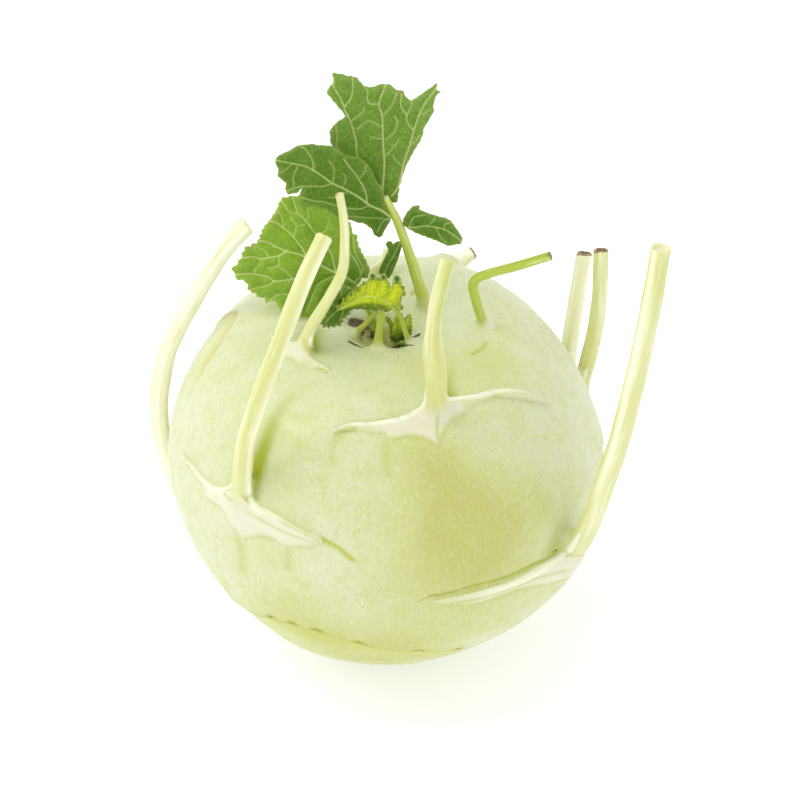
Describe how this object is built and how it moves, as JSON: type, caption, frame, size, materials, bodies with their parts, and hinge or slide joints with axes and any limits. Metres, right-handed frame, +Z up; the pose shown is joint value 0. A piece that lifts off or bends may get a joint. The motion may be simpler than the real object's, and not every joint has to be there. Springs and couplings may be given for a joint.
{
  "type": "kohlrabi",
  "caption": "Fresh pale green kohlrabi bulb standing on its trimmed root, with cut leaf stalks round it and young green leaves left in the crown.",
  "frame": {"origin": "centre of the flat root cut that the bulb rests on", "axes": "+Z up through the bulb towards the crown, -Y towards the front, +X to the right seen from the front"},
  "size_m": [0.1156, 0.1012, 0.1421],
  "materials": {
    "bulb_skin": "satin waxy skin, pale yellow-green with faint upright streaks, small brown specks and pinkish leaf scars",
    "stalk_cream": "satin ribbed stalk, cream to yellow-green",
    "stalk_pale": "satin ribbed stalk, pale green",
    "stalk_green": "satin ribbed stalk, fresh green",
    "leaf_dark": "soft waxy leaf, dark green with pale veins",
    "leaf_green": "soft waxy leaf, mid green with pale veins",
    "leaf_young": "crinkled young leaf, bright yellow-green"
  },
  "bodies": {
    "root": {"bulb": "bulb_skin", "stalk_left": "stalk_cream", "stalk_front_left": "stalk_pale", "stalk_inner_left": "stalk_green", "stalk_front": "stalk_pale", "stalk_bent_right": "stalk_green", "stalk_back_right_outer": "stalk_green", "stalk_back_right_inner": "stalk_cream", "stalk_right": "stalk_cream", "stalk_back": "stalk_cream", "stalk_back_stub": "stalk_cream", "tall_leaf_stalk": "stalk_green", "tall_leaf_blade": "leaf_dark", "tall_leaf_lobe_left": "leaf_dark", "tall_leaf_leaflet_right": "leaf_dark", "tall_leaf_leaflet_dark": "leaf_dark", "side_leaf_stalk": "stalk_green", "side_leaf_blade": "leaf_green", "young_leaf_yellow": "leaf_young", "young_leaf_dark": "leaf_dark", "young_stalk_left": "stalk_green", "young_stalk_middle": "stalk_green", "young_stalk_right": "stalk_green", "heart_leaves": "leaf_young"}
  },
  "joints": []
}
